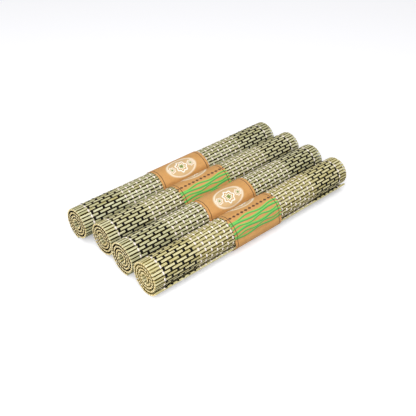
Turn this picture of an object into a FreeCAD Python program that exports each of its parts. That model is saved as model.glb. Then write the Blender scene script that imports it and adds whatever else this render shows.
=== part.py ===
"""Four rolled bamboo mats, each held by a paper sleeve, lying side by side in a row.

Lengths are millimetres. +X runs along the rolls, the front roll lies at -Y, and +Z is up.
The origin is on the table under the middle of the row.

A mat is a row of thin bamboo slats woven on yarns and rolled up into a spiral. The front mat
is made of panels, so that it can be unrolled: single slats in the tight core, and pairs of slats
further out. Panels turn against each other where the yarns cross between two slats.
"""
import FreeCAD, Part
import Sketcher
import math
import os

SIZES = {
    # A slat is a keystone in section: the face that the roll turns inwards is the narrower one
    "slat_length": 240.0,
    "slat_width": 2.2,
    "slat_thickness": 1.5,
    "slat_taper": 0.4,
    "slat_gap": 0.72,
    # A yarn passes over one slat and under the next
    "yarn_width": 1.6,
    "yarn_thickness": 0.42,
    "yarn_clearance": 0.06,
    # The binding yarns near the slats' ends: the outer one, and its neighbour
    "binding_inset": 10.2,
    "binding_spacing": 1.8,
    # The roll: the turn from slat to slat at the core, the room left between layers, and counts
    "core_turn_degrees": 50.0,
    "layer_air": 0.62,
    "core_slat_count": 18.0,
    "pair_count": 32.0,
    "tail_pair_count": 2.0,
    # The paper sleeves, all shifted along the rolls from the middle of the row
    "sleeve_width": 58.0,
    "sleeve_thickness": 0.2,
    "sleeve_clearance": 0.1,
    "sleeve_shift": -4.5,
    # The row
    "row_gap": 0.1,
    "stagger": 3.0,
}

# Each mat from front to back: its name, its shift along X as a share of the stagger, and the angle
# in degrees by which it is turned about its own axis
MATS = [
    ("front", -0.3, 0.0),
    ("second", 0.0, 35.0),
    ("third", 1.0, -25.0),
    ("back", -0.7, 60.0),
]

SPIRAL_STEPS = 60
CIRCLE_STEPS = 4000


def slat_pitch(sizes):
    """From the middle of one slat to the middle of the next."""
    return sizes["slat_width"] + sizes["slat_gap"]


def yarn_seat(sizes):
    """From a slat's middle plane to the near side of a yarn that lies on it."""
    return sizes["slat_thickness"] / 2 + sizes["yarn_clearance"]


def yarn_shoulder(sizes):
    """How far a yarn's outer side reaches past the slat that it lies on."""
    return sizes["slat_gap"] / 4


def layer_pitch(sizes):
    """From one layer of the roll to the next."""
    woven = sizes["slat_thickness"] + 2 * (sizes["yarn_thickness"] + sizes["yarn_clearance"])
    return woven + sizes["layer_air"]


def panel_slat_counts(sizes):
    """The number of slats in each panel, from the core outwards."""
    return [1] * round(sizes["core_slat_count"]) + [2] * round(sizes["pair_count"])


def spiral_point(sizes, angle):
    """A point (y, z) of the roll's middle line, `angle` radians out from its inner end."""
    core_radius = slat_pitch(sizes) / 2 / math.sin(math.radians(sizes["core_turn_degrees"]) / 2)
    radius = core_radius + layer_pitch(sizes) * angle / (2 * math.pi)
    return -radius * math.cos(angle), radius * math.sin(angle)


def next_spiral_angle(sizes, angle, chord):
    """The angle further out along the spiral at which a straight panel of this length ends."""
    start = spiral_point(sizes, angle)
    low = angle
    high = angle + math.pi / 2
    for _ in range(SPIRAL_STEPS):
        middle = (low + high) / 2
        if math.dist(start, spiral_point(sizes, middle)) < chord:
            low = middle
        else:
            high = middle
    return low


def raw_panels(sizes):
    """Each panel as (slats, start point, end point), from the core outwards."""
    panels = []
    angle = 0.0
    for slats in panel_slat_counts(sizes):
        outer_angle = next_spiral_angle(sizes, angle, slats * slat_pitch(sizes))
        panels.append((slats, spiral_point(sizes, angle), spiral_point(sizes, outer_angle)))
        angle = outer_angle
    return panels


def base_index(sizes):
    """The panel that lies flat under the front roll: the last before the free tail."""
    return len(panel_slat_counts(sizes)) - 1 - round(sizes["tail_pair_count"])


def direction(panel):
    """The angle, in the Y-Z plane, in which a panel runs outwards along the roll."""
    _, start, end = panel
    return math.atan2(end[1] - start[1], end[0] - start[0])


def turned(point, angle):
    """A point of the Y-Z plane turned about the origin."""
    cosine = math.cos(angle)
    sine = math.sin(angle)
    return point[0] * cosine - point[1] * sine, point[0] * sine + point[1] * cosine


def outer_corners(sizes, panel):
    """The two points of a panel, yarn included, that lie furthest from the roll's core."""
    slats, start, end = panel
    along = direction(panel)
    middle = ((start[0] + end[0]) / 2, (start[1] + end[1]) / 2)
    reach = slats * slat_pitch(sizes) / 2 - sizes["slat_gap"] / 2 + yarn_shoulder(sizes)
    height = yarn_seat(sizes) + sizes["yarn_thickness"]
    corners = []
    for side in (-reach, reach):
        offset = turned((side, height), along)
        corners.append((middle[0] + offset[0], middle[1] + offset[1]))
    return corners


def enclosing_circle(points):
    """The centre and radius of a circle round all points, drawn in step by step."""
    centre = points[0]
    for step in range(1, CIRCLE_STEPS):
        far = max(points, key=lambda point: math.dist(point, centre))
        share = 1 / (step + 1)
        centre = (centre[0] + share * (far[0] - centre[0]), centre[1] + share * (far[1] - centre[1]))
    return centre, max(math.dist(point, centre) for point in points)


def rolled_panels(sizes):
    """The panels about the sleeve's axis, with the base panel level, and the rolled mat's radius."""
    raw = raw_panels(sizes)
    level = math.pi - direction(raw[base_index(sizes)])
    panels = [(slats, turned(start, level), turned(end, level)) for slats, start, end in raw]
    corners = [corner for panel in panels for corner in outer_corners(sizes, panel)]
    centre, radius = enclosing_circle(corners)
    shifted = []
    for slats, start, end in panels:
        new_start = (start[0] - centre[0], start[1] - centre[1])
        new_end = (end[0] - centre[0], end[1] - centre[1])
        shifted.append((slats, new_start, new_end))
    return shifted, radius


def sleeve_bore(sizes, roll_radius):
    """The inner radius of a sleeve."""
    return roll_radius + sizes["sleeve_clearance"]


def mat_centre(sizes, roll_radius, index):
    """Where the axis of a mat's sleeve lies: (y, z)."""
    sleeve_radius = sleeve_bore(sizes, roll_radius) + sizes["sleeve_thickness"]
    row_pitch = 2 * sleeve_radius + sizes["row_gap"]
    return (index - (len(MATS) - 1) / 2) * row_pitch, sleeve_radius


def make_sheet(doc, roll_radius):
    """The sheet of driving sizes, with the sleeve's bore that the rolled mat calls for."""
    sheet = doc.addObject("Spreadsheet::Sheet", "Sizes")
    cells = dict(SIZES, sleeve_bore_radius=sleeve_bore(SIZES, roll_radius))
    for row, (name, value) in enumerate(cells.items(), start=1):
        sheet.set(f"A{row}", name)
        sheet.set(f"B{row}", str(value))
        sheet.setAlias(f"B{row}", name)
    doc.recompute()
    return sheet


def cross_section_sketch(body, name):
    """A sketch across the rolls: its first axis is Y and its second is Z."""
    plane = next(item for item in body.Origin.OriginFeatures if item.Role == "YZ_Plane")
    sketch = body.newObject("Sketcher::SketchObject", name)
    sketch.AttachmentSupport = (plane, [""])
    sketch.MapMode = "FlatFace"
    return sketch


def add_size(sketch, name, expression, *constraint):
    """Adds a dimension to a sketch and binds it to the sheet."""
    index = sketch.addConstraint(Sketcher.Constraint(*constraint))
    sketch.renameConstraint(index, name)
    sketch.setExpression(f"Constraints.{name}", expression)


def pad_both_ways(body, sketch, name, length):
    """Pads a sketch along X, half to each side, to a length bound to the sheet."""
    pad = body.newObject("PartDesign::Pad", name)
    pad.Profile = sketch
    pad.SideType = "Symmetric"
    pad.setExpression("Length", length)


def make_slat(doc):
    """One slat, its middle at the origin and its wider face up."""
    body = doc.addObject("PartDesign::Body", "Slat")
    sketch = cross_section_sketch(body, "SlatSection")
    half_top = SIZES["slat_width"] / 2
    half_foot = half_top - SIZES["slat_taper"] / 2
    half_height = SIZES["slat_thickness"] / 2
    outline = [
        FreeCAD.Vector(-half_foot, -half_height, 0),
        FreeCAD.Vector(half_foot, -half_height, 0),
        FreeCAD.Vector(half_top, half_height, 0),
        FreeCAD.Vector(-half_top, half_height, 0),
    ]
    sides = len(outline)
    foot, top = 0, 2
    first_point, last_point = 1, 2
    origin, vertical_axis = -1, -2
    for index, point in enumerate(outline):
        sketch.addGeometry(Part.LineSegment(point, outline[(index + 1) % sides]), False)
    for index in range(sides):
        neighbour = (index + 1) % sides
        corner = Sketcher.Constraint("Coincident", index, last_point, neighbour, first_point)
        sketch.addConstraint(corner)
    for line in (foot, top):
        level = Sketcher.Constraint("Symmetric", line, first_point, line, last_point, vertical_axis)
        sketch.addConstraint(level)
    add_size(sketch, "Top", "Sizes.slat_width", "Distance", top, 2 * half_top)
    add_size(sketch, "Foot", "Sizes.slat_width - Sizes.slat_taper", "Distance", foot, 2 * half_foot)
    half = "Sizes.slat_thickness / 2"
    add_size(sketch, "Down", half, "DistanceY", foot, first_point, origin, first_point, half_height)
    add_size(sketch, "Up", half, "DistanceY", origin, first_point, top, first_point, half_height)
    pad_both_ways(body, sketch, "SlatLength", "Sizes.slat_length")
    return body


def make_sleeve(doc, label, placement):
    """One closed paper band round a rolled mat."""
    body = doc.addObject("PartDesign::Body", label)
    sketch = cross_section_sketch(body, f"{label}_section")
    middle = FreeCAD.Vector(0, 0, 0)
    axis = FreeCAD.Vector(0, 0, 1)
    bore = "Sizes.sleeve_bore_radius"
    circles = [("Bore", bore), ("Outside", f"{bore} + Sizes.sleeve_thickness")]
    origin, centre_point, start_point = -1, 3, 1
    for index, (name, expression) in enumerate(circles):
        radius = 1.0 + index
        sketch.addGeometry(Part.Circle(middle, axis, radius), False)
        sketch.addConstraint(
            Sketcher.Constraint("Coincident", index, centre_point, origin, start_point)
        )
        add_size(sketch, name, expression, "Radius", index, radius)
    pad_both_ways(body, sketch, f"{label}_width", "Sizes.sleeve_width")
    body.Placement = placement
    body.Label = label
    return body


def yarn_outline(sides):
    """A yarn's path over a panel, as a closed outline (along, height) from hinge to hinge.

    `sides` holds, for each slat of the panel, 1 where the yarn lies on its outer face and -1 where
    it lies on its inner face. At the hinges the yarn has come back to the slats' middle plane.
    """
    pitch = slat_pitch(SIZES)
    seat = yarn_seat(SIZES)
    thickness = SIZES["yarn_thickness"]
    clearance = SIZES["yarn_clearance"]
    end = len(sides) * pitch / 2
    near = SIZES["slat_width"] / 2
    far = near + yarn_shoulder(SIZES)
    lower = []
    upper = []
    for index, side in enumerate(sides):
        middle = (index + 0.5) * pitch - end
        on_slat = [(middle - near, side * seat), (middle + near, side * seat)]
        outside = side * (seat + thickness)
        off_slat = [(middle - far, outside), (middle + far, outside)]
        lower += on_slat if side > 0 else off_slat
        upper += off_slat if side > 0 else on_slat
    for position, side in ((-end, sides[0]), (end, sides[-1])):
        heights = sorted((side * clearance, side * (clearance + thickness)))
        place = 0 if position < 0 else len(lower)
        lower.insert(place, (position, heights[0]))
        upper.insert(place, (position, heights[1]))
    return lower + upper[::-1]


def yarn_stretch(sides, along_roll):
    """The stretch of one yarn that belongs to a panel, with its middle at `along_roll`."""
    first_face = along_roll - SIZES["yarn_width"] / 2
    points = [FreeCAD.Vector(first_face, along, height) for along, height in yarn_outline(sides)]
    face = Part.Face(Part.makePolygon(points + points[:1]))
    return face.extrude(FreeCAD.Vector(SIZES["yarn_width"], 0, 0))


def binding_yarns():
    """Each binding yarn: where it lies along the roll, and which slats it passes over."""
    outer = SIZES["slat_length"] / 2 - SIZES["binding_inset"]
    inner = outer - SIZES["binding_spacing"]
    over_even, over_odd = 0, 1
    return [(-outer, over_even), (-inner, over_odd), (inner, over_even), (outer, over_odd)]


def panel_slats(slat, slats):
    """The slats of one flat panel, side by side about the origin."""
    pitch = slat_pitch(SIZES)
    copies = []
    for index in range(slats):
        copy = slat.Shape.copy()
        copy.translate(FreeCAD.Vector(0, (index - (slats - 1) / 2) * pitch, 0))
        copies.append(copy)
    return copies


def panel_stretches(slats, first_slat):
    """The yarns of one flat panel whose first slat has this number in the mat."""
    stretches = []
    for along_roll, parity in binding_yarns():
        sides = [1 if (first_slat + index) % 2 == parity else -1 for index in range(slats)]
        stretches.append(yarn_stretch(sides, along_roll))
    return stretches


def panel_placement(panel):
    """Puts a flat panel, drawn about the origin, in its place in a roll about the X axis."""
    _, start, end = panel
    middle = FreeCAD.Vector(0, (start[0] + end[0]) / 2, (start[1] + end[1]) / 2)
    turn = FreeCAD.Rotation(FreeCAD.Vector(1, 0, 0), math.degrees(direction(panel)))
    return FreeCAD.Placement(middle, turn)


def mat_placement(roll_radius, index):
    """Puts a roll about the X axis in its place in the row."""
    _, shift, turn_degrees = MATS[index]
    across, height = mat_centre(SIZES, roll_radius, index)
    turn = FreeCAD.Rotation(FreeCAD.Vector(1, 0, 0), turn_degrees)
    return FreeCAD.Placement(FreeCAD.Vector(shift * SIZES["stagger"], across, height), turn)


def add_piece(doc, label, solids, placement):
    """A document object that holds loose solids as one sub-part."""
    piece = doc.addObject("Part::Feature", label)
    piece.Shape = Part.makeCompound(solids)
    piece.Placement = placement
    piece.Label = label
    return piece


def make_front_mat(doc, slat, panels, placement):
    """The mat that unrolls: a sub-part for each panel, numbered from the core outwards."""
    pieces = []
    first_slat = 0
    for number, panel in enumerate(panels, start=1):
        slats = panel[0]
        solids = panel_slats(slat, slats) + panel_stretches(slats, first_slat)
        place = placement.multiply(panel_placement(panel))
        pieces.append(add_piece(doc, f"front_mat_panel_{number:02d}", solids, place))
        first_slat += slats
    return pieces


def make_rolled_mat(doc, slat, panels, label, placement):
    """A mat that stays rolled up: all its slats in one sub-part."""
    solids = []
    for panel in panels:
        for copy in panel_slats(slat, panel[0]):
            copy.Placement = panel_placement(panel).multiply(copy.Placement)
            solids.append(copy)
    return add_piece(doc, label, solids, placement)


def make_row(doc, slat, panels, roll_radius):
    """All sub-parts of the row of four mats."""
    pieces = []
    for index, (name, _, _) in enumerate(MATS):
        placement = mat_placement(roll_radius, index)
        if index == 0:
            pieces += make_front_mat(doc, slat, panels, placement)
        else:
            pieces.append(make_rolled_mat(doc, slat, panels, f"{name}_mat_slats", placement))
        across, height = mat_centre(SIZES, roll_radius, index)
        sleeve_place = FreeCAD.Vector(SIZES["sleeve_shift"], across, height)
        sleeve = FreeCAD.Placement(sleeve_place, FreeCAD.Rotation())
        pieces.append(make_sleeve(doc, f"{name}_sleeve", sleeve))
    return pieces


def check_and_write(doc, pieces):
    """Stops at any failed object or bad shape, and writes one file for each sub-part."""
    failed = [item.Name for item in doc.Objects if {"Invalid", "Error"} & set(item.State)]
    if failed:
        raise RuntimeError(f"failed objects: {failed}")
    for piece in pieces:
        if piece.Shape.isNull() or not piece.Shape.isValid():
            raise RuntimeError(f"bad shape: {piece.Label}")
    os.makedirs("parts", exist_ok=True)
    for piece in pieces:
        piece.Shape.exportStep(f"parts/{piece.Label}.step")


def main():
    panels, roll_radius = rolled_panels(SIZES)
    doc = FreeCAD.newDocument("RolledMats")
    make_sheet(doc, roll_radius)
    slat = make_slat(doc)
    doc.recompute()
    pieces = make_row(doc, slat, panels, roll_radius)
    doc.recompute()
    check_and_write(doc, pieces)
    slat_count = sum(panel[0] for panel in panels)
    print(f"{slat_count} slats in a mat, {slat_count * slat_pitch(SIZES):.1f} mm laid flat")
    print(f"rolled radius {roll_radius:.2f} mm, {len(pieces)} sub-parts")


main()
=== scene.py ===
"""Looks of a row of four rolled bamboo mats in paper sleeves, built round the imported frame.

Lengths are written in millimetres, and MM turns them into Blender's metres. +X runs along the rolls,
the front roll lies at -Y, and +Z is up. The roll's own formulas are those of the CAD part, so every
slat lies where its solid lies. Points of a roll's cross-section are (y, z) about its sleeve's axis.
Points of a slat's own section are (along, height): along the mat to its outer end, and away from the
roll's core.
"""
import math
import random
from collections import namedtuple

import bpy
import numpy as np
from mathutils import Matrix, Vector


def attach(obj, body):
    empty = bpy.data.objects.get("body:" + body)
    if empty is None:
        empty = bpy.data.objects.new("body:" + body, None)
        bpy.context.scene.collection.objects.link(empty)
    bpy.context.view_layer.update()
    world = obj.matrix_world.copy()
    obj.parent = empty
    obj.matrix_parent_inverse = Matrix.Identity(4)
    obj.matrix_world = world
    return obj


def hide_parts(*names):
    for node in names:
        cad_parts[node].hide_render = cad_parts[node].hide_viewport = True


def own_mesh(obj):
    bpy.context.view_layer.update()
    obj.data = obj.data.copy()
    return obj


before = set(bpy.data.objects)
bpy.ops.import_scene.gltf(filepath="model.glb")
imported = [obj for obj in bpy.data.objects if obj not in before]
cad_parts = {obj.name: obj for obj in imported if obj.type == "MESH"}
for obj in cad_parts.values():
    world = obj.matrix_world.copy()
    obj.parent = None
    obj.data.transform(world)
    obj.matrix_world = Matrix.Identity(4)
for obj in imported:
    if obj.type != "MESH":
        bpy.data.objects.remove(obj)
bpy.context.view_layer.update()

MM = 0.001
FULL_TURN = 360.0
SEED = 7
RANDOM = random.Random(SEED)

# The roll, as in the CAD part: slats, the yarns that cross between them, and the spiral along which
# panels of one slat near the core and two further out are laid
SLAT_LENGTH = 240.0
SLAT_WIDTH = 2.2
SLAT_FOOT = 1.8
SLAT_THICKNESS = 1.5
SLAT_PITCH = 2.92
YARN_SEAT = 0.81
YARN_THICKNESS = 0.42
YARN_SHOULDER = 0.18
LAYER_PITCH = 3.08
CORE_TURN = math.radians(50.0)
SINGLE_PANELS = 18
DOUBLE_PANELS = 32
PANEL_SLATS = [1] * SINGLE_PANELS + [2] * DOUBLE_PANELS
LAST_SLAT = sum(PANEL_SLATS) - 1
BASE_PANEL = 47
SPIRAL_STEPS = 60
CIRCLE_STEPS = 4000

# The sleeves and the row, as in the CAD part
SLEEVE_CLEARANCE = 0.1
SLEEVE_THICKNESS = 0.2
SLEEVE_WIDTH = 58.0
SLEEVE_MIDDLE = -4.5
ROW_GAP = 0.1

# The mats from front to back. A mat is shifted along X and turned about its own axis. The middle of its
# sleeve's print lies at an angle where 90 is the top and 180 the front. Green is 0 for straw-coloured
# bamboo and 1 for olive, whose darker grey-green is partly the mats' own tone and partly painted shade
# for how the light falls on the rear rolls.
Mat = namedtuple("Mat", "name shift turn_degrees print_degrees green")
MATS = [
    Mat("front", shift=-0.9, turn_degrees=0.0, print_degrees=42.0, green=0.0),
    Mat("second", shift=0.0, turn_degrees=35.0, print_degrees=118.0, green=0.9),
    Mat("third", shift=3.0, turn_degrees=-25.0, print_degrees=44.0, green=0.7),
    Mat("back", shift=-2.1, turn_degrees=60.0, print_degrees=112.0, green=1.0),
]

# The yarns: evenly spaced columns, black near both ends and white between them, and a white edge
# yarn close outside the first and the last
COLUMN_COUNT = 36
OUTER_COLUMN = 108.0
EDGE_YARN = 109.8
BLACK_COLUMNS = 6


# The roll's geometry


def spiral_point(angle):
    """A point of the roll's middle line, `angle` radians out from its inner end."""
    radius = SLAT_PITCH / 2 / math.sin(CORE_TURN / 2) + LAYER_PITCH * angle / (2 * math.pi)
    return -radius * math.cos(angle), radius * math.sin(angle)


def next_spiral_angle(angle, chord):
    """The angle further out along the spiral at which a straight panel of this length ends."""
    start = spiral_point(angle)
    low = angle
    high = angle + math.pi / 2
    for _ in range(SPIRAL_STEPS):
        middle = (low + high) / 2
        if math.dist(start, spiral_point(middle)) < chord:
            low = middle
        else:
            high = middle
    return low


def direction(panel):
    """The angle in which a panel (start, end) runs outwards along the roll."""
    start, end = panel
    return math.atan2(end[1] - start[1], end[0] - start[0])


def panel_middle(panel):
    """The point half way along a panel (start, end)."""
    start, end = panel
    return (start[0] + end[0]) / 2, (start[1] + end[1]) / 2


def turned(point, angle):
    """A point turned about the origin."""
    cosine = math.cos(angle)
    sine = math.sin(angle)
    return point[0] * cosine - point[1] * sine, point[0] * sine + point[1] * cosine


def added(point, offset):
    """A point moved by an offset."""
    return point[0] + offset[0], point[1] + offset[1]


def outer_corners(panels):
    """The two points of each panel, yarn included, that lie furthest from the roll's core."""
    corners = []
    for slats, panel in zip(PANEL_SLATS, panels):
        reach = slats * SLAT_PITCH / 2 - (SLAT_PITCH - SLAT_WIDTH) / 2 + YARN_SHOULDER
        for side in (-reach, reach):
            offset = turned((side, YARN_SEAT + YARN_THICKNESS), direction(panel))
            corners.append(added(panel_middle(panel), offset))
    return corners


def enclosing_circle(points):
    """The centre and radius of a circle round all points, drawn in step by step."""
    centre = points[0]
    for step in range(1, CIRCLE_STEPS):
        far = max(points, key=lambda point: math.dist(point, centre))
        share = 1 / (step + 1)
        centre = (centre[0] + share * (far[0] - centre[0]), centre[1] + share * (far[1] - centre[1]))
    return centre, max(math.dist(point, centre) for point in points)


def rolled_panels():
    """Each panel as (start, end) about the sleeve's axis, and the rolled mat's radius.

    The roll is turned until its base panel lies level on the table.
    """
    laid = []
    angle = 0.0
    for slats in PANEL_SLATS:
        outer = next_spiral_angle(angle, slats * SLAT_PITCH)
        laid.append((spiral_point(angle), spiral_point(outer)))
        angle = outer
    level = math.pi - direction(laid[BASE_PANEL])
    level_panels = [(turned(start, level), turned(end, level)) for start, end in laid]
    centre, radius = enclosing_circle(outer_corners(level_panels))
    to_axis = (-centre[0], -centre[1])
    return [(added(start, to_axis), added(end, to_axis)) for start, end in level_panels], radius


PANELS, ROLL_RADIUS = rolled_panels()
ROLL_CORNERS = outer_corners(PANELS)
SLEEVE_RADIUS = ROLL_RADIUS + SLEEVE_CLEARANCE + SLEEVE_THICKNESS
ROW_PITCH = 2 * SLEEVE_RADIUS + ROW_GAP


def mat_centre(index):
    """Where a mat's axis lies: (y, z)."""
    return (index - (len(MATS) - 1) / 2) * ROW_PITCH, SLEEVE_RADIUS


def roll_reach(angle):
    """How far a mat that isn't turned reaches from its sleeve's axis in a direction."""
    cosine = math.cos(angle)
    sine = math.sin(angle)
    return max(y * cosine + z * sine for y, z in ROLL_CORNERS)


# Materials

# Where a Mix node has its share, its two colours and their mix
MIX_SHARE = 0
MIX_FIRST = 6
MIX_SECOND = 7
MIX_RESULT = 2
WHITE = (1.0, 1.0, 1.0, 1.0)


class Nodes:
    """The node tree of a material or the world, with short ways to add and link nodes.

    Inputs are named by keywords, with underscores for the spaces in their names.
    """

    def __init__(self, owner, shader):
        owner.use_nodes = True
        self.owner = owner
        self.tree = owner.node_tree
        self.shader = self.tree.nodes[shader]

    def put(self, socket, value):
        """Links an output to a socket, or sets the socket to a number or colour."""
        if isinstance(value, bpy.types.NodeSocket):
            self.tree.links.new(value, socket)
        else:
            socket.default_value = value

    def fill(self, node, inputs):
        """Sets or links the named inputs of a node."""
        for name, value in inputs.items():
            self.put(node.inputs[name.replace("_", " ")], value)

    def node(self, kind, **inputs):
        """A new node."""
        node = self.tree.nodes.new(kind)
        self.fill(node, inputs)
        return node

    def shade(self, **inputs):
        """Sets or links the shader's inputs."""
        self.fill(self.shader, inputs)

    def compute(self, operation, first, second=0.0):
        """The result of one sum."""
        node = self.tree.nodes.new("ShaderNodeMath")
        node.operation = operation
        self.put(node.inputs[0], first)
        self.put(node.inputs[1], second)
        return node.outputs[0]

    def mix(self, share, first, second):
        """Two colours mixed: the first at a share of 0, the second at 1."""
        node = self.tree.nodes.new("ShaderNodeMix")
        node.data_type = "RGBA"
        self.put(node.inputs[MIX_SHARE], share)
        self.put(node.inputs[MIX_FIRST], first)
        self.put(node.inputs[MIX_SECOND], second)
        return node.outputs[MIX_RESULT]

    def ramp(self, value, low, high):
        """A value taken smoothly from 0 at `low` to 1 at `high`."""
        node = self.node("ShaderNodeMapRange", Value=value, From_Min=low, From_Max=high)
        node.interpolation_type = "SMOOTHSTEP"
        return node.outputs[0]

    def spread(self, value, low, high):
        """A value from 0 to 1 taken to lie between `low` and `high`."""
        return self.node("ShaderNodeMapRange", Value=value, To_Min=low, To_Max=high).outputs[0]

    def noise(self, place, waves, detail):
        """Noise over a place, with so many waves per metre along each axis."""
        mapping = self.node("ShaderNodeMapping", Vector=place, Scale=waves)
        noise = self.node("ShaderNodeTexNoise", Vector=mapping.outputs[0], Scale=1.0, Detail=detail)
        return noise.outputs["Fac"]

    def attribute(self, name):
        """A number that the mesh carries."""
        node = self.tree.nodes.new("ShaderNodeAttribute")
        node.attribute_name = name
        return node.outputs["Fac"]

    def own_place(self):
        """The place in the piece's own space, in metres."""
        return self.tree.nodes.new("ShaderNodeTexCoord").outputs["Object"]

    def axes(self, vector):
        """The numbers that make up a vector."""
        return self.node("ShaderNodeSeparateXYZ", Vector=vector).outputs

    def bump(self, height, rise, strength):
        """Bumps the surface by a height from 0 to 1, where 1 rises so many millimetres."""
        node = self.node("ShaderNodeBump", Height=height, Distance=rise * MM, Strength=strength)
        self.shade(Normal=node.outputs[0])

    def seen(self):
        """1 for what the camera sees, also by way of gloss or glass, and 0 for what gives light."""
        rays = self.tree.nodes.new("ShaderNodeLightPath").outputs
        seen = self.compute("MAXIMUM", rays["Is Camera Ray"], rays["Is Glossy Ray"])
        return self.compute("MAXIMUM", seen, rays["Is Transmission Ray"])


def new_material(name):
    """The nodes of a new material."""
    return Nodes(bpy.data.materials.new(name), "Principled BSDF")


def colour(red, green, blue):
    """A screen colour from 0 to 255 as the linear colour that shaders take, by the sRGB curve."""
    linear = []
    for value in (red, green, blue):
        share = value / 255
        linear.append(share / 12.92 if share <= 0.04045 else ((share + 0.055) / 1.055) ** 2.4)
    return (*linear, 1.0)


# Bamboo. Pairs of tones run from the darkest slats to the palest
STRAW_TONES = (colour(188, 179, 124), colour(226, 220, 178))
# Olive's darker grey-green is partly the mats' own tone and partly painted shade for the rear rolls
OLIVE_TONES = (colour(166, 167, 124), colour(207, 207, 175))
STAIN_TONE = colour(172, 158, 96)
GRAIN_TONE = colour(158, 142, 86)
PALE_TONE = colour(234, 230, 196)
# Painted shade of slats' edges and of gaps, in straw-coloured and in olive mats, and of gaps by black
# yarns
EDGE_SHADE_TONES = (colour(172, 150, 66), colour(144, 120, 32))
GAP_SHADE_TONES = (colour(84, 70, 26), colour(26, 22, 6))
BLACK_GAP_SHADE_TONE = colour(15, 12, 4)
# Noise, as waves per metre and detail, and where on it each tone begins and is full
PATCHES = {"waves": (38.0, 330.0, 330.0), "detail": 2.0}
GRAIN = {"waves": (60.0, 4200.0, 4200.0), "detail": 3.0}
STAIN_LIMITS = (0.56, 0.78)
GRAIN_LIMITS = (0.52, 0.75)
PALE_LIMITS = (0.46, 0.3)
# The painted shade at which the edges' shaded tone and the gaps' darker shaded tone begin and are full
EDGE_SHADE_LIMITS = (0.0, 0.55)
GAP_SHADE_LIMITS = (0.4, 1.0)
# The black yarns' zone, from the roll's middle, and how softly it starts and ends
BLACK_START = 75.0
BLACK_BLUR = 1.0
BAMBOO_ROUGHNESS = (0.42, 0.66)
BAMBOO_GLOSS = 0.14
BAMBOO_BUMP = {"rise": 0.12, "strength": 0.5}


def black_zone(nodes, place):
    """1 along the part of a slat that black yarns cross, 0 elsewhere."""
    from_middle = nodes.compute("ABSOLUTE", nodes.axes(place)["X"])
    starts = nodes.ramp(from_middle, (BLACK_START - BLACK_BLUR) * MM, (BLACK_START + BLACK_BLUR) * MM)
    ends = nodes.ramp(from_middle, (EDGE_YARN + BLACK_BLUR) * MM, EDGE_YARN * MM)
    return nodes.compute("MULTIPLY", starts, ends)


def bamboo_material():
    """Split bamboo: straw to olive, grained along the slat, with painted shade on its edges and in its
    gaps.
    """
    nodes = new_material("bamboo_slat")
    place = nodes.own_place()
    tint = nodes.attribute("tint")
    green = nodes.attribute("green")
    painted_shade = nodes.attribute("painted_shade")
    patches = nodes.noise(place, **PATCHES)
    grain = nodes.noise(place, **GRAIN)
    base = nodes.mix(green, nodes.mix(tint, *STRAW_TONES), nodes.mix(tint, *OLIVE_TONES))
    stained = nodes.mix(nodes.ramp(patches, *STAIN_LIMITS), base, STAIN_TONE)
    grained = nodes.mix(nodes.ramp(grain, *GRAIN_LIMITS), stained, GRAIN_TONE)
    face = nodes.mix(nodes.ramp(grain, *PALE_LIMITS), grained, PALE_TONE)
    # Painted shade: edges brown and gaps dark where points lie deep between slats, near-black by black
    # yarns
    edge = nodes.mix(nodes.ramp(painted_shade, *EDGE_SHADE_LIMITS), face, nodes.mix(green, *EDGE_SHADE_TONES))
    gap = nodes.mix(black_zone(nodes, place), nodes.mix(green, *GAP_SHADE_TONES), BLACK_GAP_SHADE_TONE)
    nodes.shade(
        Base_Color=nodes.mix(nodes.ramp(painted_shade, *GAP_SHADE_LIMITS), edge, gap),
        Roughness=nodes.spread(grain, *BAMBOO_ROUGHNESS),
        Specular_IOR_Level=BAMBOO_GLOSS,
    )
    nodes.bump(grain, **BAMBOO_BUMP)
    return nodes.owner


# The slats' sawn ends
CREAM_TONES = (colour(238, 216, 156), colour(253, 240, 190))
FIBRE_TONE = colour(150, 116, 66)
SAWN_TONE = colour(190, 160, 104)
END_FIBRES = {"waves": (400.0, 4600.0, 4600.0), "detail": 1.0}
SAW_MARKS = {"waves": (900.0, 900.0, 900.0), "detail": 2.0}
FIBRE_LIMITS = (0.55, 0.72)
SAWN_LIMITS = (0.5, 0.8)
END_ROUGHNESS = 0.8
END_BUMP = {"rise": 0.15, "strength": 0.6}


def end_grain_material():
    """The sawn ends of the slats: cream with the dark dots of the bamboo's fibres."""
    nodes = new_material("bamboo_end_grain")
    place = nodes.own_place()
    fibres = nodes.noise(place, **END_FIBRES)
    saw_marks = nodes.noise(place, **SAW_MARKS)
    cream = nodes.mix(nodes.attribute("tint"), *CREAM_TONES)
    dotted = nodes.mix(nodes.ramp(fibres, *FIBRE_LIMITS), cream, FIBRE_TONE)
    sawn = nodes.mix(nodes.ramp(saw_marks, *SAWN_LIMITS), dotted, SAWN_TONE)
    nodes.shade(Base_Color=sawn, Roughness=END_ROUGHNESS)
    nodes.bump(fibres, **END_BUMP)
    return nodes.owner


# Yarn: the tones of its hollows and strands, the strands' slant in radians, how many there are and how
# they waver, its fuzz, and the share that each has in its surface
WHITE_YARN_TONES = (colour(234, 218, 204), colour(255, 248, 240))
BLACK_YARN_TONES = (colour(10, 8, 5), colour(28, 25, 18))
STRAND_SLANT = 0.6
STRANDS = {"Scale": 620.0, "Distortion": 2.5, "Detail": 2.0}
FUZZ = {"waves": (2600.0, 2600.0, 2600.0), "detail": 3.0}
STRAND_SHARE = 0.7
FUZZ_SHARE = 0.3
YARN_ROUGHNESS = 0.85
YARN_GLOSS = 0.1
YARN_SHEEN = 0.05
YARN_BUMP = {"rise": 0.18, "strength": 0.8}


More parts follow.
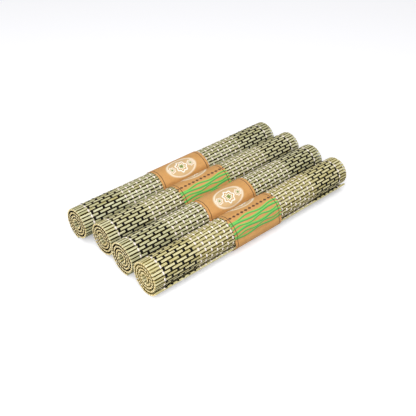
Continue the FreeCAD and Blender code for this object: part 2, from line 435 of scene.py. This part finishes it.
def yarn_material(name, tones):
    """Soft spun yarn: twisted strands with a little fuzz."""
    nodes = new_material(name)
    place = nodes.own_place()
    slanted = nodes.node("ShaderNodeMapping", Vector=place, Rotation=(0.0, 0.0, STRAND_SLANT))
    strands = nodes.node("ShaderNodeTexWave", Vector=slanted.outputs[0], **STRANDS)
    fuzz = nodes.noise(place, **FUZZ)
    height = nodes.compute(
        "ADD",
        nodes.compute("MULTIPLY", strands.outputs["Fac"], STRAND_SHARE),
        nodes.compute("MULTIPLY", fuzz, FUZZ_SHARE),
    )
    nodes.shade(
        Base_Color=nodes.mix(height, *tones),
        Roughness=YARN_ROUGHNESS,
        Specular_IOR_Level=YARN_GLOSS,
        Sheen_Weight=YARN_SHEEN,
    )
    nodes.bump(height, **YARN_BUMP)
    return nodes.owner


# Kraft paper, and how far its fibres wear the print away
KRAFT_TONES = (colour(190, 138, 76), colour(212, 160, 96))
FLECK_TONE = colour(172, 118, 64)
CLOUDS = {"waves": (160.0, 160.0, 160.0), "detail": 3.0}
PAPER_FIBRES = {"waves": (700.0, 2600.0, 2600.0), "detail": 3.0}
FLECK_LIMITS = (0.58, 0.78)
WORN_LIMITS = (0.6, 0.85)
PAPER_ROUGHNESS = 0.85
PRINT_ROUGHNESS = 0.72
PAPER_BUMP = {"rise": 0.1, "strength": 0.5}


def paper_grounds(nodes):
    """The kraft paper's colour and the height of its fibres."""
    place = nodes.own_place()
    clouds = nodes.noise(place, **CLOUDS)
    fibres = nodes.noise(place, **PAPER_FIBRES)
    ground = nodes.mix(clouds, *KRAFT_TONES)
    return nodes.mix(nodes.ramp(fibres, *FLECK_LIMITS), ground, FLECK_TONE), fibres


# The print on a sleeve, in millimetres from its middle: along the roll, and around it. The middle of
# the UV square is the middle of the print.
UV_SPAN = 200.0
UV_MIDDLE = 0.5
PRINT_BLUR = 0.18
OVAL_HALF = (18.0, 11.5)
RIM_WIDTH = 1.3
OVAL_TONE = colour(208, 174, 126)
RIM_TONE = colour(234, 216, 190)
# Each rosette of the oval: its place along the roll and its radius
ROSETTES = [(0.0, 6.4), (-11.4, 3.5), (11.4, 3.5)]
ROSETTE_PETALS = 7.0
PETAL_SWING = 0.11
# The rosettes' rings from outside to inside: share of the radius, and colour
ROSETTE_RINGS = [
    (1.0, colour(242, 236, 224)),
    (0.74, colour(190, 140, 60)),
    (0.56, colour(246, 236, 210)),
    (0.34, colour(122, 134, 56)),
]
LOZENGE_ROW = 15.4
LOZENGE_PITCH = 4.8
LOZENGE_HALF = (2.1, 1.5)
BROWN_INK = colour(84, 52, 28)
# Each ribbon: how far around it lies, its width, its wavelength and where its waves start
RIBBONS = [
    (20.2, 1.8, 30.0, 0.0),
    (23.4, 2.4, 41.0, 1.9),
    (26.8, 1.8, 26.0, 3.6),
    (30.4, 2.6, 37.0, 0.8),
    (34.0, 1.7, 23.0, 2.6),
    (37.4, 2.2, 33.0, 4.4),
]
RIBBON_SWING = 0.9
RIBBON_TONES = (colour(118, 206, 92), colour(40, 142, 70))
EDGE_LINE = 26.2
EDGE_LINE_HALF = 0.35


def on_paper(nodes, coordinate):
    """A UV coordinate as millimetres from the middle of the print."""
    return nodes.compute("MULTIPLY", nodes.compute("SUBTRACT", coordinate, UV_MIDDLE), UV_SPAN)


def within(nodes, distance, reach):
    """1 where a distance is shorter than a reach, 0 where it is longer."""
    return nodes.ramp(distance, reach + PRINT_BLUR, reach - PRINT_BLUR)


def apart(nodes, first, second):
    """How far apart two numbers are."""
    return nodes.compute("ABSOLUTE", nodes.compute("SUBTRACT", first, second))


def length_of(nodes, along, around):
    """The length of a line on the paper."""
    squares = nodes.compute(
        "ADD", nodes.compute("MULTIPLY", along, along), nodes.compute("MULTIPLY", around, around)
    )
    return nodes.compute("SQRT", squares)


def print_oval(nodes, along, around, tone):
    """A cream oval with a pale rim."""
    scaled = length_of(
        nodes,
        nodes.compute("DIVIDE", along, OVAL_HALF[0]),
        nodes.compute("DIVIDE", around, OVAL_HALF[1]),
    )
    outside = nodes.compute("MULTIPLY", nodes.compute("SUBTRACT", scaled, 1.0), OVAL_HALF[1])
    tone = nodes.mix(within(nodes, outside, 0.0), tone, OVAL_TONE)
    return nodes.mix(within(nodes, apart(nodes, outside, -RIM_WIDTH), RIM_WIDTH / 2), tone, RIM_TONE)


def print_rosette(nodes, along, around, radius, tone):
    """A rosette of round petals with rings inside it."""
    bearing = nodes.compute("ARCTAN2", around, along)
    petals = nodes.compute("COSINE", nodes.compute("MULTIPLY", bearing, ROSETTE_PETALS))
    swing = nodes.compute("MULTIPLY", petals, PETAL_SWING * radius)
    reach = nodes.compute("SUBTRACT", length_of(nodes, along, around), swing)
    for share, ring_tone in ROSETTE_RINGS:
        tone = nodes.mix(within(nodes, reach, share * radius), tone, ring_tone)
    return tone


def print_lozenges(nodes, along, around, tone):
    """A row of lozenges along the roll."""
    step = nodes.compute("PINGPONG", along, LOZENGE_PITCH / 2)
    reach = nodes.compute(
        "ADD",
        nodes.compute("DIVIDE", step, LOZENGE_HALF[0]),
        nodes.compute("DIVIDE", apart(nodes, around, LOZENGE_ROW), LOZENGE_HALF[1]),
    )
    return nodes.mix(within(nodes, reach, 1.0), tone, BROWN_INK)


def print_ribbon(nodes, along, around, ribbon, tone):
    """A waving green ribbon along the roll."""
    height, width, wave, start = ribbon
    phase = nodes.compute("ADD", nodes.compute("MULTIPLY", along, 2 * math.pi / wave), start)
    swing = nodes.compute("MULTIPLY", nodes.compute("SINE", phase), RIBBON_SWING)
    offset = nodes.compute("SUBTRACT", around, nodes.compute("ADD", swing, height))
    green = nodes.mix(nodes.ramp(offset, -width / 2, width / 2), *RIBBON_TONES)
    return nodes.mix(within(nodes, nodes.compute("ABSOLUTE", offset), width / 2), tone, green)


def print_edge_lines(nodes, along, tone):
    """A thin brown line along each edge of the paper."""
    from_line = apart(nodes, nodes.compute("ABSOLUTE", along), EDGE_LINE)
    return nodes.mix(within(nodes, from_line, EDGE_LINE_HALF), tone, BROWN_INK)


def printed_paper_material():
    """Kraft paper with a generic print: an oval with rosettes, lozenges, ribbons and edge lines."""
    nodes = new_material("sleeve_print")
    paper, fibres = paper_grounds(nodes)
    uv = nodes.axes(nodes.node("ShaderNodeUVMap").outputs[0])
    along = on_paper(nodes, uv["X"])
    around = on_paper(nodes, uv["Y"])
    tone = print_oval(nodes, along, around, paper)
    for middle, radius in ROSETTES:
        tone = print_rosette(nodes, nodes.compute("SUBTRACT", along, middle), around, radius, tone)
    tone = print_lozenges(nodes, along, around, tone)
    for ribbon in RIBBONS:
        tone = print_ribbon(nodes, along, around, ribbon, tone)
    tone = print_edge_lines(nodes, along, tone)
    worn = nodes.mix(nodes.ramp(fibres, *WORN_LIMITS), tone, paper)
    nodes.shade(Base_Color=worn, Roughness=PRINT_ROUGHNESS)
    nodes.bump(fibres, **PAPER_BUMP)
    return nodes.owner


def plain_paper_material():
    """The unprinted inside and cut edges of the kraft paper."""
    nodes = new_material("sleeve_paper")
    paper, fibres = paper_grounds(nodes)
    nodes.shade(Base_Color=paper, Roughness=PAPER_ROUGHNESS)
    nodes.bump(fibres, **PAPER_BUMP)
    return nodes.owner


BAMBOO, END_GRAIN, WHITE_YARN, BLACK_YARN = range(4)
MAT_MATERIALS = [
    bamboo_material(),
    end_grain_material(),
    yarn_material("white_yarn", WHITE_YARN_TONES),
    yarn_material("black_yarn", BLACK_YARN_TONES),
]
PRINTED, PLAIN = range(2)
SLEEVE_MATERIALS = [printed_paper_material(), plain_paper_material()]


# Meshes


def add_object(name, data):
    """A new object in the scene."""
    new_object = bpy.data.objects.new(name, data)
    bpy.context.scene.collection.objects.link(new_object)
    return new_object


class Shape:
    """Points and faces gathered for one piece, in millimetres.

    The mesh carries three numbers at each point for its materials: the tint of its slat or stitch, how
    much painted shade it takes for lying deep in a gap, and how green the mat is.
    """

    def __init__(self):
        self.points = []
        self.faces = []
        self.materials = []
        self.smooth = []
        self.tints = []
        self.depths = []
        self.count = 0

    def add(self, points, faces, material, tint=0.0, smooth=True, depths=None):
        """Adds points and the faces between them."""
        for face in faces:
            self.faces.append(tuple(self.count + corner for corner in face))
        self.points.append(np.asarray(points))
        self.materials += [material] * len(faces)
        self.smooth += [smooth] * len(faces)
        self.tints += [tint] * len(points)
        self.depths += depths or [0.0] * len(points)
        self.count += len(points)

    def shift(self, x):
        """Moves everything gathered so far along the roll."""
        self.points = [points + np.array([x, 0.0, 0.0]) for points in self.points]

    def make(self, name, materials, green=0.0):
        """The Blender object of the gathered shape."""
        mesh = bpy.data.meshes.new(name)
        mesh.from_pydata((np.concatenate(self.points) * MM).tolist(), [], self.faces)
        mesh.polygons.foreach_set("material_index", self.materials)
        mesh.polygons.foreach_set("use_smooth", self.smooth)
        carried = {"tint": self.tints, "painted_shade": self.depths, "green": [green] * self.count}
        for attribute, values in carried.items():
            mesh.attributes.new(attribute, "FLOAT", "POINT").data.foreach_set("value", values)
        for material in materials:
            mesh.materials.append(material)
        return add_object(name, mesh)


def stand_for(piece, node, body):
    """Hides the CAD node that a piece stands in for, and puts the piece on its body."""
    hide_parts(node)
    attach(piece, body)


def tube_faces(rings, sides):
    """The faces between rings of points, in order round and along."""
    faces = []
    for ring in range(rings - 1):
        near = ring * sides
        far = near + sides
        for side in range(sides):
            follow = (side + 1) % sides
            faces.append((near + side, near + follow, far + follow, far + side))
    return faces


# A slat's section: the radius of its edges and the steps round them, how far its sides and faces stand
# out from the solid slat, and the crown of its outer face
SLAT_EDGE = 0.24
EDGE_STEP_DEGREES = 45
SIDE_SWELL = 0.08
FACE_SWELL = 0.12
SLAT_CROWN = 0.1
# How much painted shade points carry for lying deep in the gaps. The side to the mat's outer end carries
# more, dark on the edge and in a thin line on the outer face; the other side carries less.
NO_PAINTED_SHADE = 0.0
FULL_PAINTED_SHADE = 1.0
SHADE_LINE = 0.35
OUTWARD_SIDE_EDGE_SHADES = (1.0, 1.0, 1.0)
OUTWARD_SIDE_FOOT_SHADES = (0.25, 0.9, 1.0)
INWARD_SIDE_EDGE_SHADES = (0.85, 0.45, 0.0)
# At the slats' ends the sides keep only this share of their painted shade, as light reaches in there
END_SIDE_SHADE = 0.3
# The slats that line the open core, and those of the outer turn
OPEN_CORE_SLATS = 11
OUTER_TURN_SLATS = 35
# Where along a slat its section is drawn, how much thinner its ends are worn, and how far their outer
# edges spread
SLAT_STATIONS = (0.0, 0.006, 0.2, 0.4, 0.6, 0.8, 0.994, 1.0)
END_WEAR = 0.86
END_SPREAD = 0.14
# How far a slat may bow sideways, how far the bow may shift along it, and how unevenly it is cut
SLAT_BOW = 0.13
BOW_SHIFT = 0.6
SLAT_END_PLAY = 0.12


def slat_edge(across, height, first_degrees, depths):
    """The points round one edge of a slat, where its sides would meet at (across, height)."""
    middle_across = across - math.copysign(SLAT_EDGE, across)
    middle_height = height - math.copysign(SLAT_EDGE, height)
    points = []
    for step, painted_shade in enumerate(depths):
        angle = math.radians(first_degrees + EDGE_STEP_DEGREES * step)
        along = middle_across + SLAT_EDGE * math.cos(angle)
        points.append((along, middle_height + SLAT_EDGE * math.sin(angle), painted_shade))
    return points


def slat_outline():
    """A slat's section, a keystone with round edges and a slightly crowned outer face.

    Each point is (along, height, shade), and shade says how much painted shade it carries for lying in the
    gap.
    """
    half_top = SLAT_WIDTH / 2 + SIDE_SWELL
    half_foot = SLAT_FOOT / 2 + SIDE_SWELL
    half_middle = (half_top + half_foot) / 2
    top = SLAT_THICKNESS / 2 + FACE_SWELL
    flat_end = half_top - SLAT_EDGE
    line_end = flat_end - SHADE_LINE
    line_crown = SLAT_CROWN * (1 - line_end / flat_end)
    return [
        *slat_edge(half_foot, -top, -90, OUTWARD_SIDE_FOOT_SHADES),
        (half_middle, 0.0, FULL_PAINTED_SHADE),
        *slat_edge(half_top, top, 0, OUTWARD_SIDE_EDGE_SHADES),
        (line_end, top + line_crown, NO_PAINTED_SHADE),
        (0.0, top + SLAT_CROWN, NO_PAINTED_SHADE),
        *slat_edge(-half_top, top, 90, INWARD_SIDE_EDGE_SHADES[::-1]),
        (-half_middle, 0.0, FULL_PAINTED_SHADE),
        *slat_edge(-half_foot, -top, 180, INWARD_SIDE_EDGE_SHADES),
    ]


SLAT_OUTLINE = slat_outline()


def slat_painted_shades(number, stays_rolled):
    """How dark each point of a slat's section is: (along the slat, at its ends).

    The sides in the gaps carry painted shade, less at the ends, and so do the faces that turn to the next
    layer, at the ends and in a mat that stays rolled up. The free side of the last slat and the core's
    insides don't.
    """
    depths = []
    for along, height, painted_shade in SLAT_OUTLINE:
        faces_core = height < 0 and number >= OPEN_CORE_SLATS
        faces_layer = height > 0 and number <= LAST_SLAT - OUTER_TURN_SLATS
        if number == LAST_SLAT and along > 0:
            depths.append((NO_PAINTED_SHADE, NO_PAINTED_SHADE))
        elif faces_core or faces_layer:
            depths.append((FULL_PAINTED_SHADE if stays_rolled else painted_shade, FULL_PAINTED_SHADE))
        else:
            depths.append((painted_shade, END_SIDE_SHADE * painted_shade))
    return depths


def add_slat(shape, number, place, stays_rolled):
    """One slat, with `place` putting (along, height) of its own section into the roll."""
    tint = RANDOM.random()
    bow = RANDOM.uniform(-SLAT_BOW, SLAT_BOW)
    skew = RANDOM.uniform(-SLAT_BOW, SLAT_BOW) / 2
    phase = RANDOM.uniform(-BOW_SHIFT, BOW_SHIFT)
    first = -SLAT_LENGTH / 2 - RANDOM.uniform(-SLAT_END_PLAY, SLAT_END_PLAY)
    last = SLAT_LENGTH / 2 + RANDOM.uniform(-SLAT_END_PLAY, SLAT_END_PLAY)
    section_shades = slat_painted_shades(number, stays_rolled)
    rings = []
    depths = []
    for share in SLAT_STATIONS:
        x = first + share * (last - first)
        sideways = bow * math.sin(math.pi * share + phase) + skew * (share - 0.5)
        at_end = share in (SLAT_STATIONS[0], SLAT_STATIONS[-1])
        for (along, height, _), (run_shade, end_shade) in zip(SLAT_OUTLINE, section_shades):
            worn_height = END_WEAR * height if at_end else height
            spread = math.copysign(END_SPREAD, along) if at_end and height > 0 else 0.0
            rings.append((x, *place(along + spread + sideways, worn_height)))
            depths.append(end_shade if at_end else run_shade)
    sides = len(SLAT_OUTLINE)
    shape.add(rings, tube_faces(len(SLAT_STATIONS), sides), BAMBOO, tint, depths=depths)
    shape.add(rings[:sides], [tuple(range(sides))[::-1]], END_GRAIN, tint, smooth=False)
    shape.add(rings[-sides:], [tuple(range(sides))], END_GRAIN, tint, smooth=False)


# Half of a yarn's way over a slat, from the gap to the slat's middle: along, height and half width.
# Black yarn is spread wider, and a stitch may lie a little off its column.
HALF_STITCH = [
    (-1.46, 0.0, 0.66),
    (-1.34, 0.46, 0.72),
    (-1.13, 0.84, 0.78),
    (-0.62, 1.0, 0.81),
    (0.0, 1.05, 0.82),
]
STITCH_PATH = HALF_STITCH + [(-along, height, half) for along, height, half in HALF_STITCH[-2::-1]]
STITCH_HALF_THICKNESS = 0.2
STITCH_SIDES = 6
BLACK_STRETCH = 1.45
STITCH_PLAY = 0.18
# The side of a slat on which a stitch lies
OUTSIDE = 1
INSIDE = -1
# How many slats of a mat that stays rolled up have stitches, counted from its outer end
STITCHED_SLATS = 46


def stitch_rings(side):
    """A yarn's way along one side of a slat: points (x, along, height) about the slat."""
    rings = []
    last = len(STITCH_PATH) - 1
    for index, (along, height, half_width) in enumerate(STITCH_PATH):
        before = STITCH_PATH[max(index - 1, 0)]
        after = STITCH_PATH[min(index + 1, last)]
        slope = math.atan2(after[1] - before[1], after[0] - before[0])
        for corner in range(STITCH_SIDES):
            angle = 2 * math.pi * corner / STITCH_SIDES
            x = half_width * math.cos(angle)
            out = STITCH_HALF_THICKNESS * math.sin(angle)
            rings.append((x, along - out * math.sin(slope), side * (height + out * math.cos(slope))))
    return rings


def yarn_columns():
    """Each yarn as (place along the roll, parity of the slats it passes over, material)."""
    spacing = 2 * OUTER_COLUMN / (COLUMN_COUNT - 1)
    columns = [(-EDGE_YARN, 0, WHITE_YARN), (EDGE_YARN, 1, WHITE_YARN)]
    for index in range(COLUMN_COUNT):
        from_end = min(index, COLUMN_COUNT - 1 - index)
        yarn = BLACK_YARN if from_end < BLACK_COLUMNS else WHITE_YARN
        columns.append((index * spacing - OUTER_COLUMN, (index + 1) % 2, yarn))
    return columns


STITCHES = {side: stitch_rings(side) for side in (OUTSIDE, INSIDE)}
STITCH_FACES = tube_faces(len(STITCH_PATH), STITCH_SIDES)
COLUMNS = yarn_columns()


def add_stitches(shape, number, place, sides_shown):
    """All yarns' stitches on one slat, on its outside, its inside or both.

    The yarns end on the inside of the mat's last slat.
    """
    for column, parity, material in COLUMNS:
        passes_over = number % 2 == parity and number != LAST_SLAT
        side = OUTSIDE if passes_over else INSIDE
        tint = RANDOM.random()
        middle = column + RANDOM.uniform(-STITCH_PLAY, STITCH_PLAY)
        if side in sides_shown:
            stretch = BLACK_STRETCH if material == BLACK_YARN else 1.0
            points = [(middle + stretch * x, *place(along, height)) for x, along, height in STITCHES[side]]
            shape.add(points, STITCH_FACES, material, tint)


def slat_placer(middle, heading, shift):
    """A function that puts a slat's (along, height) at its (y, z), `shift` along its panel."""

    def place(along, height):
        return added(middle, turned((along + shift, height), heading))

    return place


def slat_places(mat_index):
    """For each panel of a mat, a list of its slats as (number in the mat, placing function)."""
    turn = math.radians(MATS[mat_index].turn_degrees)
    centre = mat_centre(mat_index)
    panels = []
    number = 0
    for slats, panel in zip(PANEL_SLATS, PANELS):
        middle = added(centre, turned(panel_middle(panel), turn))
        heading = direction(panel) + turn
        members = []
        for index in range(slats):
            shift = (index - (slats - 1) / 2) * SLAT_PITCH
            members.append((number, slat_placer(middle, heading, shift)))
            number += 1
        panels.append(members)
    return panels


def make_front_mat():
    """The mat that unrolls: one piece for each panel."""
    mat = MATS[0]
    for index, members in enumerate(slat_places(0), start=1):
        shape = Shape()
        for number, place in members:
            add_slat(shape, number, place, stays_rolled=False)
            add_stitches(shape, number, place, (OUTSIDE, INSIDE))
        shape.shift(mat.shift)
        piece = shape.make(f"{mat.name}_woven_panel_{index:02d}", MAT_MATERIALS, mat.green)
        node = f"{mat.name}_mat_panel_{index:02d}"
        stand_for(piece, node, f"{mat.name}_panel_{index:02d}")


def make_rolled_mat(mat_index):
    """A mat that stays rolled up, with stitches where its outer turn shows them."""
    mat = MATS[mat_index]
    shape = Shape()
    for members in slat_places(mat_index):
        for number, place in members:
            add_slat(shape, number, place, stays_rolled=True)
            if number > LAST_SLAT - STITCHED_SLATS:
                add_stitches(shape, number, place, (OUTSIDE,))
    shape.shift(mat.shift)
    piece = shape.make(f"{mat.name}_woven_mat", MAT_MATERIALS, mat.green)
    stand_for(piece, f"{mat.name}_mat_slats", f"{mat.name}_mat")


# The paper of a sleeve: where its seam lies, how far it laps over and how high it lifts there, its
# thickness and its play on the slats, its steps round and across the roll, its ripples, the waves of
# its edges, and the share of its height that is left when it lies flat
SEAM_DEGREES = 305.0
LAP_DEGREES = 26.0
LAP_STEP = 0.22
PAPER = 0.16
PAPER_PLAY = 0.3
ROUND_STEPS = 132
ACROSS_STEPS = 20
RIPPLE = 0.04
RIPPLES = 37
EDGE_WAVE = 0.22
EDGE_WAVES = 3


def paper_radius(mat, degrees, phase):
    """How far from the sleeve's axis the paper's outside lies, at an angle counted from its seam on."""
    angle = math.radians(degrees)
    reach = roll_reach(angle - math.radians(mat.turn_degrees)) + PAPER_PLAY
    lapped = (degrees - SEAM_DEGREES - FULL_TURN + LAP_DEGREES) / LAP_DEGREES
    lift = LAP_STEP * min(1.0, max(0.0, lapped))
    return min(SLEEVE_RADIUS, reach) + lift + RIPPLE * math.sin(RIPPLES * angle + phase)


def paper_points(mat_index, phase):
    """The paper's outer points, inner points and places in its UV square, in rows across the roll."""
    mat = MATS[mat_index]
    axis_y, axis_z = mat_centre(mat_index)
    outer = []
    inner = []
    places = []
    for step in range(ROUND_STEPS + 1):
        degrees = SEAM_DEGREES + (FULL_TURN + LAP_DEGREES) * (step / ROUND_STEPS)
        angle = math.radians(degrees)
        out_y = math.cos(angle)
        out_z = math.sin(angle)
        radius = paper_radius(mat, degrees, phase)
        bore = radius - PAPER
        around = math.radians(degrees - mat.print_degrees - FULL_TURN) * SLEEVE_RADIUS
        for across in range(ACROSS_STEPS + 1):
            side = 2 * across / ACROSS_STEPS - 1
            along = side * SLEEVE_WIDTH / 2
            x = SLEEVE_MIDDLE + along + EDGE_WAVE * side * math.sin(EDGE_WAVES * angle + phase)
            outer.append((x, axis_y + radius * out_y, axis_z + radius * out_z))
            inner.append((x, axis_y + bore * out_y, axis_z + bore * out_z))
            places.append((along / UV_SPAN + UV_MIDDLE, around / UV_SPAN + UV_MIDDLE))
    return outer, inner, places


def sheet_faces(row):
    """The faces between the paper's rows of points, seen from outside and from inside."""
    outer_faces = []
    inner_faces = []
    for step in range(ROUND_STEPS):
        for across in range(ACROSS_STEPS):
            near = step * row + across
            far = near + row
            outer_faces.append((near, near + 1, far + 1, far))
            inner_faces.append((near, far, far + 1, near + 1))
    return outer_faces, inner_faces


def rim_faces(edge, inwards, turned_round):
    """The faces along an edge, from its outer points to the inner ones, `inwards` numbers further on."""
    faces = []
    for point, follow in zip(edge, edge[1:]):
        face = (point, follow, inwards + follow, inwards + point)
        faces.append(face[::-1] if turned_round else face)
    return faces


def lay_print(piece, places):
    """Gives each corner of a sleeve's faces the place of its point in the UV square."""
    corner_places = []
    for loop in piece.data.loops:
        corner_places += places[loop.vertex_index % len(places)]
    piece.data.uv_layers.new(name="print").data.foreach_set("uv", corner_places)


def make_sleeve(mat_index):
    """A paper band drawn tight round a roll, lapped and glued under the back."""
    phase = RANDOM.uniform(0, 2 * math.pi)
    outer, inner, places = paper_points(mat_index, phase)
    row = ACROSS_STEPS + 1
    total = len(outer)
    outer_faces, inner_faces = sheet_faces(row)
    rims = [
        *rim_faces(range(0, total, row), total, False),
        *rim_faces(range(ACROSS_STEPS, total, row), total, True),
        *rim_faces(range(row), total, True),
        *rim_faces(range(total - row, total), total, False),
    ]
    shape = Shape()
    shape.add(outer, outer_faces, PRINTED)
    shape.add(inner, inner_faces, PLAIN)
    shape.add(outer + inner, rims, PLAIN, smooth=False)
    name = MATS[mat_index].name
    piece = shape.make(f"{name}_paper_sleeve", SLEEVE_MATERIALS)
    lay_print(piece, places)
    stand_for(piece, f"{name}_sleeve", f"{name}_sleeve")
    return piece


make_front_mat()
for mat_index in range(1, len(MATS)):
    make_rolled_mat(mat_index)
sleeves = [make_sleeve(mat_index) for mat_index in range(len(MATS))]
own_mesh(sleeves[0])


# Camera, floor and light

# The camera, fitted to the outlines of the rolls in the photograph
CAMERA_AZIMUTH = math.radians(-42.14)
CAMERA_ELEVATION = math.radians(34.8)
CAMERA_DISTANCE = 648.8
CAMERA_TARGET = Vector((0.0, 0.0, 16.5))
SENSOR = 36.0
FOCAL_PIXELS = 681.4
PICTURE_PIXELS = 416
SHIFT_X = -0.0161
SHIFT_Y = -0.0284
CLIP_START = 10.0

# The floor, with the colour from which light bounces and the colour and glow that the camera sees
FLOOR_HALF = 6000.0
FLOOR_BOUNCE = (0.3, 0.3, 0.31, 1.0)
FLOOR_COLOUR = (0.9, 0.9, 0.93, 1.0)
FLOOR_GLOW = 0.25
FLOOR_ROUGHNESS = 0.9

# How strongly the world lights the row, and each lamp's name, place, width and power in watts
WORLD_LIGHT = 0.45
LAMPS = [
    ("key", (-500.0, -450.0, 1150.0), 1600.0, 13.2),
    ("front", (-500.0, -550.0, 450.0), 500.0, 2.7),
    ("left", (-1300.0, -200.0, 220.0), 420.0, 5.4),
]


def make_camera():
    """The camera of the photograph."""
    data = bpy.data.cameras.new("camera")
    data.sensor_width = SENSOR
    data.lens = FOCAL_PIXELS / PICTURE_PIXELS * SENSOR
    data.shift_x = SHIFT_X
    data.shift_y = SHIFT_Y
    data.clip_start = CLIP_START * MM
    camera = add_object("camera", data)
    back = Vector((
        math.sin(CAMERA_AZIMUTH) * math.cos(CAMERA_ELEVATION),
        -math.cos(CAMERA_AZIMUTH) * math.cos(CAMERA_ELEVATION),
        math.sin(CAMERA_ELEVATION),
    ))
    camera.location = (CAMERA_TARGET + back * CAMERA_DISTANCE) * MM
    camera.rotation_euler = back.to_track_quat("Z", "Y").to_euler()
    bpy.context.scene.camera = camera


def make_floor():
    """A plain floor that looks white to the camera and keeps the object's shadow."""
    half = FLOOR_HALF * MM
    corners = [(-half, -half, 0.0), (half, -half, 0.0), (half, half, 0.0), (-half, half, 0.0)]
    mesh = bpy.data.meshes.new("floor")
    mesh.from_pydata(corners, [], [(0, 1, 2, 3)])
    nodes = new_material("floor")
    seen = nodes.seen()
    nodes.shade(
        Base_Color=nodes.mix(seen, FLOOR_BOUNCE, FLOOR_COLOUR),
        Roughness=FLOOR_ROUGHNESS,
        Specular_IOR_Level=0.0,
        Emission_Color=WHITE,
        Emission_Strength=nodes.compute("MULTIPLY", seen, FLOOR_GLOW),
    )
    mesh.materials.append(nodes.owner)
    floor = add_object("floor", mesh)


def make_world():
    """Even light from all round, which the camera sees as white."""
    nodes = Nodes(bpy.data.worlds.new("world"), "Background")
    nodes.shade(Color=WHITE, Strength=nodes.spread(nodes.seen(), WORLD_LIGHT, 1.0))
    bpy.context.scene.world = nodes.owner


def add_lamp(name, place, width, power):
    """A soft square lamp that points at the row."""
    data = bpy.data.lights.new(name, "AREA")
    data.size = width * MM
    data.energy = power
    lamp = add_object(name, data)
    lamp.location = Vector(place) * MM
    lamp.rotation_euler = Vector(place).to_track_quat("Z", "Y").to_euler()


make_camera()
make_floor()
make_world()
for lamp in LAMPS:
    add_lamp(*lamp)
bpy.context.scene.view_settings.view_transform = "Standard"
